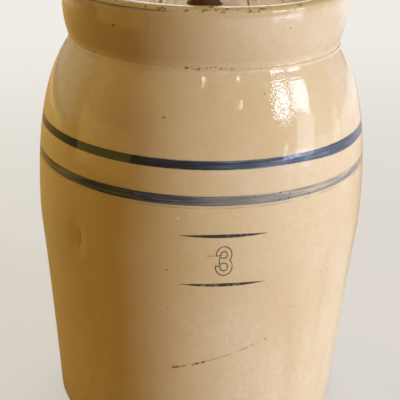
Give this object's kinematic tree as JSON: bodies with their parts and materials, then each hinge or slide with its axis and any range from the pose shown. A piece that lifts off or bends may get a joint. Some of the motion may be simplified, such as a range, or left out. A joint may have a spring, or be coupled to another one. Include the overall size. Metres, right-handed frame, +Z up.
{
  "type": "butter churn",
  "caption": "Stoneware butter churn: a banded, collared crock with a loose wooden lid and a wooden dasher whose staff slides up and down through the lid.",
  "frame": {"origin": "centre of the crock's flat base", "axes": "+Z up along the crock's axis and the dasher's staff, -Y towards the front with the capacity mark"},
  "size_m": [0.252, 0.252, 0.6242],
  "materials": {
    "glaze": "glossy tan glaze with blue bands",
    "lid_wood": "worn, oiled",
    "staff_wood": "dark, handled smooth",
    "dasher_wood": "scrubbed, dry",
    "peg_wood": "dry",
    "screw_brass": "dull"
  },
  "bodies": {
    "crock": {"crock": "glaze"},
    "lid": {"lid_board_left": "lid_wood", "lid_board_middle": "lid_wood", "lid_board_right": "lid_wood", "lid_cleat_front": "lid_wood", "lid_cleat_back": "lid_wood", "lid_screws": "screw_brass"},
    "dasher": {"dasher_staff": "staff_wood", "dasher_arm_upper": "dasher_wood", "dasher_arm_lower": "dasher_wood", "dasher_wedge": "peg_wood", "dasher_pegs": "peg_wood"}
  },
  "joints": [
    {"name": "lid_lift", "type": "slide", "parent": "crock", "child": "lid", "axis": [0, 0, 1], "range_m": [0, 0.34]},
    {"name": "dasher_plunge", "type": "slide", "parent": "crock", "child": "dasher", "axis": [0, 0, 1], "range_m": [0, 0.255]}
  ]
}
